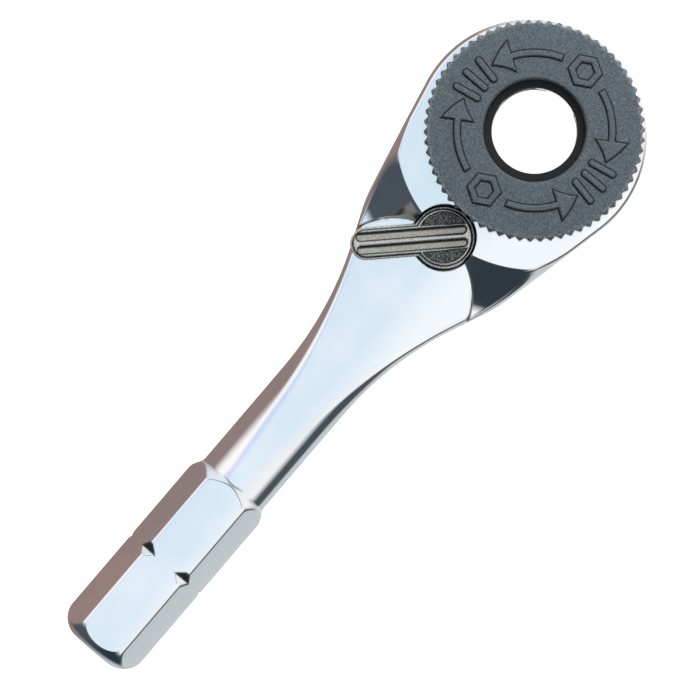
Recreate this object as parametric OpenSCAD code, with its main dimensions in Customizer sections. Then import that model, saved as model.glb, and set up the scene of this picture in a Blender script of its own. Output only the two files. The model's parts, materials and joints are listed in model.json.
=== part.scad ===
// Mini ratchet wrench with a quarter inch hex socket, a knurled thumb wheel,
// a reversing lever and a hex shank that fits a quarter inch bit holder.
// Millimetres. The origin is on the drive axis in the plane of the head's back face.
// +Z points out through the thumb wheel, and the handle runs towards -X.

/* [Head] */
// Radius of the round head
head_r = 8.7; // [8.5:0.05:9.5]
// Distance from the drive axis back to the centre of that round head
head_back = 0.5; // [0.3:0.05:0.6]
// Thickness of the head, from its back face to its top face
head_h = 9; // [8.6:0.1:10]
// Rounding of the head's edges
head_edge = 0.55; // [0.3:0.05:0.8]
// Angle between each straight side of the head and the handle's axis
side_taper = 12.5; // [9:0.5:14]
// Radius about the drive axis at which the head's faces end and the coves begin
face_r = 10.4; // [10.2:0.05:10.8]

/* [Handle] */
// Distance from the drive axis to the end of the shank
reach = 50.6; // [48:0.05:70]
// Radius of the turned neck
neck_r = 3; // [2.9:0.02:3.1]
// Distance from the drive axis to the start of the turned neck
neck_start = 27.5; // [26:0.1:29]
// Radius of the turned flare between neck and head
flare_r = 35.2; // [34:0.1:38]
// Half the width of the neck between its two trimmed sides
trim_half = 2.88; // [2.7:0.02:2.88]
// Distance from the drive axis to the start of the trimmed neck
trim_start = 25.2; // [24:0.1:26]
// Radius of the trimmed flare, seen from above
trim_flare_r = 25.5; // [24:0.1:28]
// Distance from the drive axis at which both flares turn straight
flare_start = 15; // [14.5:0.1:16]
// Half the thickness across the two thumb rests
rest_half = 2.4; // [2.2:0.05:2.6]
// Radius of the round end of each thumb rest
rest_end_r = 5.8; // [5.5:0.05:6]
// Distance from the drive axis to the centre of that round end
rest_end_at = 16.1; // [16:0.1:16.4]
// Distance from the drive axis at which each thumb rest starts to run out
rest_runout_at = 17; // [16.5:0.1:19]
// Radius of the run-out along the handle
rest_runout_r = 176; // [120:1:240]
// Depth of each cove's floor below the thumb rest
cove_drop = 0.4; // [0.2:0.05:0.6]
// Radius about the drive axis at which the cove's floor is level
cove_end = 15; // [14:0.1:16]

/* [Hex shank] */
// Width across the flats of the shank
shank_flats = 6.35; // [6.2:0.01:6.4]
// Length of the hex
shank_len = 15.05; // [12:0.05:20]
// Radius to which the hex's corners are turned
shank_corner_r = 3.62; // [3.5:0.01:3.66]
// Half the width of the hex between its two trimmed corners
shank_trim = 3.37; // [3.3:0.01:3.5]
// Length of the cone between the neck and the hex
shank_cone = 1.3; // [0.8:0.1:2]
// Radius of the shank's end inside its bevel
shank_end_r = 2.62; // [2.4:0.02:2.8]
// Half the width of that end between its two trimmed corners
trim_end_half = 2.3; // [2.2:0.02:2.6]
// Distance from the shank's end to the corner notches
notch_at = 8.4; // [6:0.1:10]
// Width of a corner notch at the corner
notch_w = 1.2; // [0.8:0.05:1.4]
// Distance from the handle's axis to the bottom of a corner notch
notch_r = 3.17; // [3.1:0.01:3.26]

/* [Drive gear] */
// Number of ratchet teeth
gear_teeth = 72; // [60:12:72]
// Radius at the tips of the ratchet teeth
gear_tip_r = 6.4; // [6.3:0.01:6.45]
// Depth of the ratchet teeth
tooth_depth = 0.36; // [0.3:0.01:0.4]
// Radius of the journal under the teeth
journal_r = 4.85; // [4.6:0.05:5]
// Radius of the hub above the teeth
hub_r = 4.9; // [4.6:0.05:5.2]
// Width across the flats of the bit socket
socket_flats = 6.4; // [6.36:0.01:6.5]
// Radius of the round lip that stops the bit
lip_r = 3.18; // [3:0.01:3.18]
// Height of the lip
lip_h = 1.2; // [0.8:0.1:1.6]
// Height of the drive gear's toothed band
band_h = 5; // [4.6:0.1:5.2]
// Thickness of the wall under the toothed band
web_h = 1; // [0.8:0.05:1.2]
// Depth of the back recess that holds the snap ring
back_recess_h = 1; // [0.9:0.05:1.2]
// Radius of that back recess
back_recess_r = 6.1; // [5.9:0.05:6.4]

/* [Thumb wheel] */
// Radius at the tips of the knurl
wheel_r = 8.2; // [8:0.01:8.25]
// Thickness of the wheel above the head
wheel_h = 2.75; // [2.4:0.05:3.2]
// Number of knurl teeth
knurl_teeth = 66; // [48:1:80]
// Depth of the knurl
knurl_depth = 0.27; // [0.2:0.01:0.45]
// Bevel of the wheel's outer edges
wheel_bevel = 0.3; // [0.1:0.05:0.5]
// Radius of the hole in the wheel's top
wheel_hole_r = 3.79; // [3.6:0.01:4]
// Bevel of that hole
wheel_hole_bevel = 0.15; // [0.05:0.05:0.3]
// Thickness of the wheel's top over the gear's hub
wheel_top = 1.2; // [0.8:0.05:1.4]

/* [Reversing lever] */
// Distance from the drive axis to the lever's axis
lever_at = 10.35; // [10.3:0.01:10.5]
// Radius of the lever's hub
lever_hub_r = 2.25; // [2.1:0.01:2.27]
// Length of the arm from the lever's axis to its tip
arm_len = 6.9; // [6:0.1:8]
// Width of the arm
arm_w = 2.3; // [1.8:0.05:2.6]
// Height of the lever above the thumb rest
lever_h = 1.8; // [1.4:0.05:1.95]
// Depth of the lever's seat below the thumb rest
seat_depth = 0.4; // [0.3:0.05:0.5]
// Width of each groove along the arm
groove_w = 0.6; // [0.4:0.05:0.65]
// Distance between the two grooves' middles
groove_pitch = 0.98; // [0.9:0.02:1.1]
// Depth of the grooves and of the sunken hub face
groove_depth = 0.26; // [0.1:0.02:0.4]
// Distance from the arm's tip to the grooves
groove_end = 0.45; // [0.3:0.05:0.8]
// Width of the raised rim round the hub
hub_rim = 0.2; // [0.15:0.05:0.4]
// Radius of the lever's stem
stem_r = 1.22; // [1.18:0.01:1.26]
// Angle through which the lever swings
lever_swing = 90; // [90:1:92]

/* [Pawl] */
// Distance from the drive axis to the pawl's pin
pin_at = 7.5; // [7.45:0.01:7.6]
// Radius of the pawl's pin
pin_r = 0.5; // [0.4:0.01:0.55]
// Angle through which the pawl rocks
pawl_rock = 10; // [9.6:0.1:10.4]
// Thickness of the pawl
pawl_h = 2.6; // [2.2:0.1:2.8]
// Radius of the pawl's outer ends about its pin
pawl_end_r = 3.9; // [3.6:0.05:4.2]
// Distance from the pin to the pawl's back
pawl_back = 1.92; // [1.88:0.01:1.96]
// Half the width of the toothless relief between the pawl's two wings
relief_half = 2; // [1.8:0.05:2.2]

/* [Detent] */
// Radius of the ball
ball_r = 0.5; // [0.45:0.01:0.52]
// Distance from the lever's axis to the ball's centre
ball_at = 1.2; // [1.16:0.01:1.24]
// Distance from the lever's axis to the spring's far end
spring_seat = 0.9; // [0.8:0.02:0.95]
// Wire diameter of the spring
spring_wire = 0.12; // [0.1:0.01:0.14]
// Radius of the spring's coil at the middle of its wire
coil_r = 0.38; // [0.34:0.01:0.4]
// Number of turns of the spring
coil_turns = 3; // [2:0.5:3]

/* [Rings] */
// Thickness of the gear's snap ring and of the lever's clip
ring_h = 0.45; // [0.35:0.01:0.5]
// Depth of the grooves that hold them
ring_groove = 0.4; // [0.3:0.05:0.45]
// Radius of the snap ring's outer edge
snap_ring_r = 5.7; // [5.4:0.05:5.8]
// Angle of the gap in each open ring
ring_gap = 50; // [30:5:80]
// Radius of the lever's clip
clip_r = 1.75; // [1.6:0.05:1.8]
// Wire radius of the ring that holds the bit
wire_r = 0.28; // [0.24:0.01:0.3]
// Height of that ring above the back face
wire_at = 3; // [2.8:0.1:4]

/* [Fits] */
// Gap between a turning piece and its bore, on the radius
running_fit = 0.05; // [0.03:0.01:0.1]
// Gap between a pressed piece and its bore, on the radius
press_fit = 0.01; // [0.005:0.005:0.02]
// Gap beside a piece that moves past a wall
side_gap = 0.1; // [0.08:0.01:0.15]
// Gap between the pawl and what it touches
mesh_gap = 0.05; // [0.04:0.01:0.07]
// Gap round the lever's hub in its seat
seat_gap = 0.3; // [0.2:0.05:0.4]

/* [Hidden] */
$fn = 96;
// Length by which a cut or a blank runs on past the face it meets
over = 1;
// Angle by which the round head runs on into its straight sides
head_overlap = 4;
// Steps of a full circle where the radius is large
fine = 360;

// Heights
mid_z = head_h / 2;
half_h = head_h / 2;
rest_z = mid_z + rest_half;
web_z = back_recess_h + web_h;
band_z = web_z + side_gap / 2;
band_top = band_z + band_h;
wheel_z = head_h + side_gap;
wheel_top_z = wheel_z + wheel_h;
hub_top = wheel_top_z - wheel_top - press_fit;
seat_z = rest_z - seat_depth;
lever_z = seat_z + side_gap / 2;
arm_z = rest_z + side_gap;
lever_top = rest_z + lever_h;
pocket_z = mid_z - pawl_h / 2 - side_gap;
pocket_h = pawl_h + 2 * side_gap;
clip_seat_z = head_h - seat_z;

// Lengths along the handle
hex_start = reach - shank_len;
side_len = rest_runout_at + 2 * over;

// Cove between the head's face and the thumb rest
cove_floor = rest_half - cove_drop;
cove_fall = half_h - cove_floor;
cove_run = cove_end - face_r;
cove_r = (cove_fall ^ 2 + cove_run ^ 2) / (2 * cove_fall);

// Ratchet
gear_bore_r = gear_tip_r + seat_gap;
gear_z = side_gap;
snap_z = back_recess_h - side_gap / 2 - ring_h;
clip_z = clip_seat_z - side_gap / 2 - ring_h;
stem_z = clip_z - ring_h;
pin_top = seat_z - seat_gap;
wire_ring_r = socket_flats / 2 + wire_r - side_gap / 2;

// Pawl in its own frame, with its pin at the origin and the gear towards +X
tilt = pawl_rock / 2;
half_swing = lever_swing / 2;
arm_angle = 180 - half_swing;
ball_angle = -half_swing;
axis_gap = lever_at - pin_at;
ball_mid = ball_at - axis_gap;
ball_end_x = ball_at * cos(half_swing) - axis_gap;
ball_end_y = -ball_at * sin(half_swing);
ball_end = [
    ball_end_x * cos(tilt) + ball_end_y * sin(tilt),
    ball_end_y * cos(tilt) - ball_end_x * sin(tilt)
];
// The ball's centre runs on a circle in the pawl's frame, and the pawl's back follows it.
saddle_x = (ball_end * ball_end - ball_mid ^ 2) / (2 * (ball_end[0] - ball_mid));
saddle_r = ball_mid - saddle_x + ball_r + mesh_gap;
horn_y = sqrt(pawl_end_r ^ 2 - pawl_back ^ 2);
pocket_back = pawl_back * cos(tilt) + horn_y * sin(tilt) + side_gap;

// Coil spring: one tube of six sides with eight rings to a turn.
wire_sides = 6;
rings_per_turn = 8;
coil_touch = ball_at - sqrt((ball_r + mesh_gap / 2) ^ 2 - coil_r ^ 2);
coil_low = -spring_seat + spring_wire / 2 + press_fit;
coil_high = coil_touch - spring_wire / 2;
coil_pitch = (coil_high - coil_low) / coil_turns;
coil_rings = coil_turns * rings_per_turn;
coil_points = [
    for (i = [0 : coil_rings], j = [0 : wire_sides - 1])
        let (
            a = i * 360 / rings_per_turn,
            b = j * 360 / wire_sides,
            r = coil_r + spring_wire / 2 * cos(b)
        )
            [
                coil_low + coil_pitch * i / rings_per_turn + spring_wire / 2 * sin(b),
                r * cos(a),
                r * sin(a)
            ]
];
coil_faces = [
    for (i = [0 : coil_rings - 1], j = [0 : wire_sides - 1], half = [0, 1])
        let (
            k = (j + 1) % wire_sides,
            p = i * wire_sides,
            q = p + wire_sides
        )
            half == 0 ? [p + j, q + j, q + k] : [p + j, q + k, p + k]
];
coil_caps = [
    for (j = [1 : wire_sides - 2], end = [0, 1])
        let (p = end * coil_rings * wire_sides)
            end == 0 ? [p, p + j, p + j + 1] : [p, p + j + 1, p + j]
];

// Outline of half the handle: distance from its axis across, distance from the drive axis upwards.
module handle_outline(neck, start, flare, shank, end, inner = 0) {
    drop = sqrt(flare ^ 2 - (start - flare_start) ^ 2);
    flare_half = neck + flare - drop;
    cone_reach = head_r + 2 * over;
    difference() {
        translate([inner, flare_start])
            square([flare_half + over - inner, start - flare_start]);
        translate([neck + flare, start])
            circle(flare, $fn = fine);
    }
    polygon([
        [inner, -cone_reach],
        [flare_half + (start - flare_start) / drop * (flare_start + cone_reach), -cone_reach],
        [flare_half, flare_start],
        [inner, flare_start]
    ]);
    polygon([
        [inner, start],
        [neck, start],
        [neck, hex_start - shank_cone],
        [shank, hex_start],
        [shank, reach - shank + end],
        [end, reach],
        [inner, reach]
    ]);
}

// The handle as turned about its own axis.
module turned_handle() {
    translate([0, 0, mid_z])
        rotate([0, -90, 0])
            rotate_extrude()
                handle_outline(neck_r, neck_start, flare_r, shank_corner_r, shank_end_r);
}

// Upright walls to which the forging's two sides are trimmed.
module side_trim() {
    translate([0, 0, -over])
        linear_extrude(head_h + 2 * over)
            for (side = [0, 1])
                mirror([0, side])
                    rotate(90)
                        handle_outline(trim_half, trim_start, trim_flare_r, shank_trim, trim_end_half, -over);
}

// Upright section of the head from a given inner edge out to its rounded rim.
module head_section(inner) {
    translate([inner, 0])
        square([head_r - head_edge - inner, head_h]);
    translate([inner, head_edge])
        square([head_r - inner, head_h - 2 * head_edge]);
    for (z = [head_edge, head_h - head_edge])
        translate([head_r - head_edge, z])
            circle(head_edge);
}

// One straight side of the head, from its tangent line towards the handle.
module head_side() {
    rotate([0, 0, 90 + side_taper])
        rotate([90, 0, 0])
            translate([0, 0, -side_len])
                linear_extrude(side_len)
                    head_section(-2 * head_r);
}

// Round head that runs into two straight tapered sides.
module head_blank() {
    round_end = 90 + side_taper + head_overlap;
    translate([-head_back, 0, 0]) {
        rotate([0, 0, -round_end])
            rotate_extrude(angle = 2 * round_end)
                head_section(0);
        intersection() {
            mirror([0, 1, 0])
                head_side();
            head_side();
        }
    }
}

// Plan of a thumb rest: a round end towards the head, open towards the shank.
module rest_plan() {
    translate([-rest_end_at, 0])
        circle(rest_end_r);
    translate([-reach, -head_r])
        square([reach - rest_end_at, 2 * head_r]);
}

// What the thumb rest's level removes above the handle, measured from the middle plane.
module rest_level() {
    rotate([90, 0, 0])
        linear_extrude(2 * head_r, center = true) {
            translate([-rest_runout_at, rest_half])
                square([rest_runout_at, half_h]);
            intersection() {
                translate([-rest_runout_at, rest_half + rest_runout_r])
                    circle(rest_runout_r, $fn = 2 * fine);
                translate([-hex_start, 0])
                    square([hex_start - rest_runout_at, rest_half + half_h]);
            }
        }
}

// What the cove removes round the head, measured from the middle plane.
module cove() {
    rotate_extrude() {
        translate([cove_end, cove_floor])
            square([rest_end_r, half_h]);
        intersection() {
            translate([cove_end, cove_floor + cove_r])
                circle(cove_r, $fn = fine);
            translate([face_r, 0])
                square([cove_run, cove_floor + half_h]);
        }
    }
}

// Cut from the middle plane outwards that shapes one face of the body.
module face_cut() {
    intersection() {
        linear_extrude(head_h)
            rest_plan();
        rest_level();
    }
    difference() {
        cove();
        linear_extrude(head_h)
            rest_plan();
    }
}

// Room for the pawl and for the ball that swings behind it.
module pawl_pocket() {
    translate([0, 0, pocket_z])
        linear_extrude(pocket_h) {
            intersection() {
                translate([-pin_at, 0])
                    circle(pawl_end_r + side_gap);
                translate([-pin_at - pocket_back, -head_r])
                    square([pocket_back + pin_at / 2, 2 * head_r]);
            }
            translate([-lever_at, 0])
                circle(ball_at + ball_r + side_gap);
        }
}

// Seats and bores for the lever, the pawl's pin and the gear.
module body_bores() {
    translate([0, 0, web_z])
        cylinder(head_h, r = gear_bore_r);
    translate([0, 0, -over])
        cylinder(head_h, r = journal_r + running_fit);
    translate([0, 0, -over])
        cylinder(back_recess_h + over, r = back_recess_r);
    translate([-lever_at, 0, 0]) {
        translate([0, 0, seat_z])
            cylinder(head_h, r = lever_hub_r + seat_gap);
        cylinder(head_h, r = stem_r + running_fit);
        translate([0, 0, -over])
            cylinder(clip_seat_z + over, r = clip_r + seat_gap);
    }
    translate([-pin_at, 0, -over])
        cylinder(pin_top + over, r = pin_r + press_fit);
}

// Straight V notches across the six corners of the shank.
module corner_notches() {
    corner = [notch_w / 2, shank_corner_r - notch_r];
    for (i = [0 : 5])
        translate([notch_at - reach, 0, mid_z])
            rotate([60 * i + 30, 0, 0])
                translate([0, 0, notch_r])
                    rotate([90, 0, 0])
                        linear_extrude(shank_flats / 2, center = true)
                            polygon([[0, 0], 2 * corner, [-2 * corner[0], 2 * corner[1]]]);
}

module handle_body() {
    color("#d7dde2")
        difference() {
            intersection() {
                union() {
                    head_blank();
                    translate([-hex_start + 2 * shank_cone, -head_r, mid_z - head_r])
                        cube([hex_start - rest_runout_at - 2 * shank_cone, 2 * head_r, 2 * head_r]);
                    translate([-reach, 0, mid_z])
                        rotate([0, 90, 0])
                            rotate([0, 0, 30])
                                cylinder(shank_len + 3 * shank_cone, d = shank_flats / cos(30), $fn = 6);
                }
                turned_handle();
                side_trim();
            }
            for (side = [0, 1])
                translate([0, 0, mid_z])
                    mirror([0, 0, side])
                        face_cut();
            body_bores();
            pawl_pocket();
            corner_notches();
        }
}

// Ring of V teeth, grown outwards by a gap where it is used as a cutter.
function v_ring(count, tip_r, depth, gap = 0) = [
    for (i = [0 : 2 * count - 1])
        let (r = tip_r + gap - (i % 2) * depth, a = i * 180 / count)
            [r * cos(a), r * sin(a)]
];

module open_ring(inner, outer, height) {
    rotate([0, 0, ring_gap / 2])
        rotate_extrude(angle = 360 - ring_gap)
            translate([inner, 0])
                square([outer - inner, height]);
}

module drive_gear() {
    color("#8a8f94")
        difference() {
            union() {
                translate([0, 0, gear_z])
                    cylinder(hub_top - gear_z, r = journal_r);
                translate([0, 0, band_z])
                    linear_extrude(band_h)
                        polygon(v_ring(gear_teeth, gear_tip_r, tooth_depth));
                translate([0, 0, band_top - over])
                    cylinder(hub_top - band_top + over, r = hub_r);
            }
            translate([0, 0, -over])
                cylinder(hub_top - lip_h + over, d = socket_flats / cos(30), $fn = 6);
            cylinder(head_h + wheel_h, r = lip_r);
            translate([0, 0, wire_at - wire_r - side_gap / 2])
                cylinder(2 * wire_r + side_gap, r = wire_ring_r + wire_r + side_gap / 2);
            translate([0, 0, snap_z - press_fit])
                difference() {
                    cylinder(ring_h + 2 * press_fit, r = journal_r + over);
                    translate([0, 0, -over])
                        cylinder(ring_h + 2 * over, r = journal_r - ring_groove);
                }
        }
}

// Outline of half the wheel, with bevelled edges.
module wheel_outline() {
    spigot_z = band_top + side_gap;
    bore_r = hub_r + press_fit;
    spigot_r = gear_bore_r - running_fit;
    rim_r = wheel_r + press_fit;
    polygon([
        [bore_r, spigot_z],
        [spigot_r, spigot_z],
        [spigot_r, wheel_z],
        [rim_r - wheel_bevel, wheel_z],
        [rim_r, wheel_z + wheel_bevel],
        [rim_r, wheel_top_z - wheel_bevel],
        [rim_r - wheel_bevel, wheel_top_z],
        [wheel_hole_r + wheel_hole_bevel, wheel_top_z],
        [wheel_hole_r, wheel_top_z - wheel_hole_bevel],
        [wheel_hole_r, hub_top + press_fit],
        [bore_r, hub_top + press_fit]
    ]);
}

module thumb_wheel() {
    color("#565d61")
        intersection() {
            linear_extrude(wheel_top_z + over)
                polygon(v_ring(knurl_teeth, wheel_r, knurl_depth));
            rotate_extrude()
                wheel_outline();
        }
}

module gear_snap_ring() {
    color("#3c4043")
        translate([0, 0, snap_z])
            open_ring(journal_r - ring_groove + press_fit, snap_ring_r, ring_h);
}

module bit_retaining_ring() {
    color("#9a9fa3")
        translate([0, 0, wire_at])
            rotate([0, 0, ring_gap / 2])
                rotate_extrude(angle = 360 - ring_gap)
                    translate([wire_ring_r, 0])
                        circle(wire_r);
}

// The gear as the pawl meets it when tilted one way.
module gear_cutter(angle) {
    rotate(angle)
        translate([pin_at, 0])
            polygon(v_ring(gear_teeth, gear_tip_r, tooth_depth, mesh_gap));
}

module pawl_plan() {
    difference() {
        intersection() {
            circle(pawl_end_r);
            translate([-pawl_back, -pawl_end_r])
                square([pawl_back + pawl_end_r, 2 * pawl_end_r]);
        }
        gear_cutter(-tilt);
        gear_cutter(tilt);
        intersection() {
            translate([pin_at, 0])
                circle(gear_tip_r + mesh_gap);
            translate([0, -relief_half])
                square([pin_at, 2 * relief_half]);
        }
        translate([saddle_x, 0])
            circle(saddle_r);
        circle(pin_r + running_fit);
    }
}

module pawl() {
    color("#6d7276")
        translate([-pin_at, 0, mid_z - pawl_h / 2])
            rotate([0, 0, tilt])
                linear_extrude(pawl_h)
                    pawl_plan();
}

module pawl_pin() {
    color("#b4b8bb")
        translate([-pin_at, 0, side_gap])
            cylinder(pin_top - 2 * side_gap, r = pin_r);
}

// Straight bar with round ends, seen from above, from near the tip to near the hub's far rim.
module arm_bar(width, tip) {
    far = lever_hub_r - hub_rim - width;
    translate([0, -width / 2])
        square([tip - width / 2, width]);
    translate([tip - width / 2, 0])
        circle(width / 2);
    translate([-far, -width / 2])
        square([far, width]);
    translate([-far, 0])
        circle(width / 2);
}

module lever_top_face() {
    face_z = lever_top - groove_depth;
    difference() {
        translate([0, 0, lever_z])
            cylinder(lever_top - lever_z, r = lever_hub_r);
        difference() {
            translate([0, 0, face_z])
                cylinder(lever_top, r = lever_hub_r - hub_rim);
            translate([-lever_hub_r, -arm_w / 2, 0])
                cube([2 * lever_hub_r, arm_w, 2 * head_h]);
        }
    }
    translate([0, 0, arm_z])
        linear_extrude(lever_top - arm_z) {
            translate([0, -arm_w / 2])
                square([arm_len - arm_w / 2, arm_w]);
            translate([arm_len - arm_w / 2, 0])
                circle(arm_w / 2);
        }
}

module reversing_lever() {
    color("#a9aaa5")
        translate([-lever_at, 0, 0])
            rotate([0, 0, arm_angle])
                difference() {
                    union() {
                        lever_top_face();
                        translate([0, 0, stem_z])
                            cylinder(lever_z - stem_z + over, r = stem_r);
                    }
                    for (side = [-1, 1])
                        translate([0, side * groove_pitch / 2, lever_top - groove_depth])
                            linear_extrude(head_h)
                                arm_bar(groove_w, arm_len - groove_end);
                    translate([spring_seat, 0, mid_z])
                        rotate([0, -90, 0])
                            cylinder(spring_seat + 2 * stem_r, r = ball_r + running_fit);
                    translate([0, 0, clip_z - press_fit])
                        difference() {
                            cylinder(ring_h + 2 * press_fit, r = stem_r + over);
                            translate([0, 0, -over])
                                cylinder(ring_h + 2 * over, r = stem_r - ring_groove);
                        }
                }
}

module lever_clip() {
    color("#3c4043")
        translate([-lever_at, 0, clip_z])
            open_ring(stem_r - ring_groove + press_fit, clip_r, ring_h);
}

module detent_ball() {
    color("#c9ccce")
        translate([-lever_at, 0, mid_z])
            rotate([0, 0, ball_angle])
                translate([ball_at, 0, 0])
                    sphere(ball_r);
}

module detent_spring() {
    color("#b8bcbf")
        translate([-lever_at, 0, mid_z])
            rotate([0, 0, ball_angle])
                polyhedron(coil_points, concat(coil_faces, coil_caps));
}

handle_body();
drive_gear();
thumb_wheel();
gear_snap_ring();
bit_retaining_ring();
pawl();
pawl_pin();
reversing_lever();
lever_clip();
detent_ball();
detent_spring();
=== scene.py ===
"""Mini ratchet wrench, dressed for rendering and laid out as an add-on with an operator for each piece."""

import json
import math
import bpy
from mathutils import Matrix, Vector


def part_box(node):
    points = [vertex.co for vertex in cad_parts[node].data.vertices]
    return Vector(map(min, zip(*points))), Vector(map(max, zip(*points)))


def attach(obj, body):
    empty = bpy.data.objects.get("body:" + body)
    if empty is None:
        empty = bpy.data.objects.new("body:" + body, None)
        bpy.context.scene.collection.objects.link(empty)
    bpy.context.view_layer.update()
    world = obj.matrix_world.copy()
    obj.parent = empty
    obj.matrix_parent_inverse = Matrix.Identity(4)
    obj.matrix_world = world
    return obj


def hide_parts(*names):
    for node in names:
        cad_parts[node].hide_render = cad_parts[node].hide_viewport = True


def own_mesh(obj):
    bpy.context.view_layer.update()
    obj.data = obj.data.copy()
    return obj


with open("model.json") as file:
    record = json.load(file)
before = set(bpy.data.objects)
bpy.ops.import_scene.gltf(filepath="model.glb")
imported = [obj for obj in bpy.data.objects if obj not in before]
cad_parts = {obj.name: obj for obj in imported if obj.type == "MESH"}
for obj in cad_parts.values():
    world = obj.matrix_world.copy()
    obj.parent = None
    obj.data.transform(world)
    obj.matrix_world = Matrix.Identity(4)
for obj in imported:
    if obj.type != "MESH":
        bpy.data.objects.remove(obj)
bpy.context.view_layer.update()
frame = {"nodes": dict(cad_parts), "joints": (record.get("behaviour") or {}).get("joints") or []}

from types import SimpleNamespace

import bpy
import numpy as np
from mathutils import Matrix, Vector

bl_info = {
    "name": "Mini Ratchet Wrench",
    "version": (1, 0, 0),
    "blender": (4, 5, 0),
    "location": "3D View > Sidebar > Ratchet",
    "description": "Builds a polished mini ratchet wrench over its packed frame",
    "category": "Add Mesh",
}

MM = 0.001
joints = {joint["name"]: joint for joint in frame["joints"]}


def joint_place(name):
    """Place of one of the frame's joints, in millimetres."""
    return np.array(joints[name]["pos_m"]) / MM


def length(name, millimetres, description):
    """A length property that shows in the scene's own unit."""
    return bpy.props.FloatProperty(
        name=name, description=description, default=millimetres * MM, precision=5, unit="LENGTH"
    )


def angle(name, degrees, description):
    """An angle property."""
    return bpy.props.FloatProperty(
        name=name, description=description, default=math.radians(degrees), subtype="ANGLE"
    )


def number(name, value, description):
    """A plain number property."""
    return bpy.props.FloatProperty(name=name, description=description, default=value)


def point(name, millimetres, description):
    """A point property that shows in the scene's own unit."""
    return bpy.props.FloatVectorProperty(
        name=name,
        description=description,
        default=tuple(value * MM for value in millimetres),
        subtype="TRANSLATION",
        precision=5,
    )


def colour(name, rgb, description):
    """A colour property."""
    return bpy.props.FloatVectorProperty(
        name=name, description=description, default=rgb, size=3, min=0, max=2, subtype="COLOR"
    )


def in_millimetres(group):
    """A group's plain numbers, with lengths in millimetres and angles in radians."""
    sizes = SimpleNamespace()
    for key, prop in group.bl_rna.properties.items():
        if prop.type in {"FLOAT", "INT"} and not prop.is_array:
            value = getattr(group, key)
            setattr(sizes, key, value / MM if prop.unit == "LENGTH" else value)
    return sizes


class HandleSizes(bpy.types.PropertyGroup):
    """Sizes of the forged handle and its head"""

    head_radius: length("Head radius", 8.7, "Radius of the round head")
    head_back: length("Head back", 0.5, "Drive axis back to the centre of the round head")
    head_height: length("Head height", 9, "Thickness of the head")
    head_edge: length("Head edge", 0.55, "Rounding of the head's edges")
    side_taper: angle("Side taper", 12.5, "Angle between the head's sides and the handle")
    face_radius: length("Face radius", 10.4, "Where the head's faces end and the coves begin")
    reach: length("Reach", 50.6, "Drive axis to the end of the shank")
    neck_radius: length("Neck radius", 3, "Radius of the turned neck")
    neck_start: length("Neck start", 27.5, "Drive axis to the start of the turned neck")
    flare_radius: length("Flare radius", 35.2, "Radius of the turned flare between neck and head")
    trim_half: length("Trimmed half", 2.88, "Half the width of the neck between its trimmed sides")
    trim_start: length("Trimmed start", 25.2, "Drive axis to the start of the trimmed neck")
    trim_flare: length("Trimmed flare", 25.5, "Radius of the trimmed flare, seen from above")
    flare_start: length("Flare start", 15, "Where both flares turn straight")
    rest_half: length("Rest half", 2.4, "Half the thickness across the two thumb rests")
    rest_end_radius: length("Rest end", 5.8, "Radius of a thumb rest's round end")
    rest_end_at: length("Rest end place", 16.1, "Drive axis to the centre of that end")
    runout_at: length("Run-out start", 17, "Where a thumb rest starts to run out")
    runout_radius: length("Run-out radius", 176, "Radius of the run-out along the handle")
    cove_drop: length("Cove drop", 0.4, "Depth of a cove's floor below the thumb rest")
    cove_end: length("Cove end", 15, "Radius at which a cove's floor is level")
    shank_flats: length("Shank flats", 6.35, "Width across the shank's flats")
    shank_length: length("Shank length", 15.05, "Length of the hex")
    corner_radius: length("Corner radius", 3.62, "Radius to which the hex's corners are turned")
    shank_trim: length("Shank trim", 3.37, "Half the width of the hex between its trimmed corners")
    shank_cone: length("Shank cone", 1.3, "Length of the cone between neck and hex")
    shank_end: length("Shank end", 2.62, "Radius of the shank's end inside its bevel")
    trim_end: length("Trimmed end", 2.3, "Half the width of that end between its trimmed corners")
    notch_at: length("Notch place", 8.4, "Shank's end to the corner notches")
    notch_radius: length("Notch radius", 3.26, "Distance from the handle's axis to the bottom of a notch")
    notch_width: length("Notch width", 1.2, "Width of a notch at the corner")
    crease: length("Crease", 0.2, "Softness of the polished edges")
    rest_edge: length("Rest edge", 0.3, "Softness of a thumb rest's long edges")
    end_edge: length("End edge", 0.6, "Softness of the edges round the shank's end")
    grid: length("Grid", 0.09, "Spacing of the mesh")


class BoreSizes(bpy.types.PropertyGroup):
    """Sizes of the seats and bores in the head"""

    gear_bore: length("Gear bore", 6.7, "Radius of the gear's bore")
    web_top: length("Web top", 2, "Height of the wall under the gear")
    journal_bore: length("Journal bore", 4.9, "Radius of the bore through that wall")
    recess_radius: length("Recess radius", 6.1, "Radius of the snap ring's recess")
    recess_depth: length("Recess depth", 1, "Depth of the snap ring's recess")
    seat_radius: length("Seat radius", 2.42, "Radius of the lever's seat")
    seat_floor: length("Seat floor", 6.5, "Height of the lever's seat")
    stem_bore: length("Stem bore", 1.27, "Radius of the bore for the lever's stem")
    clip_radius: length("Clip radius", 2.05, "Radius of the clip's recess")
    clip_depth: length("Clip depth", 2.5, "Depth of the clip's recess")
    pin_bore: length("Pin bore", 0.51, "Radius of the bore for the pawl's pin")
    pin_top: length("Pin top", 6.2, "Height at which that bore ends")
    pocket_radius: length("Pocket radius", 4, "Radius of the pawl's pocket about its pin")
    pocket_back: length("Pocket back", 2.31, "Pin to the back of the pocket")
    pocket_height: length("Pocket height", 2.8, "Height of the pawl's pocket")
    swing_radius: length("Swing radius", 1.8, "Radius of the room that the ball swings in")
    socket_reach: length("Socket reach", 3.75, "Radius within which the gear's socket is bright")
    socket_top: length("Socket top", 9.44, "Height at which the socket's dark lip begins")


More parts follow.
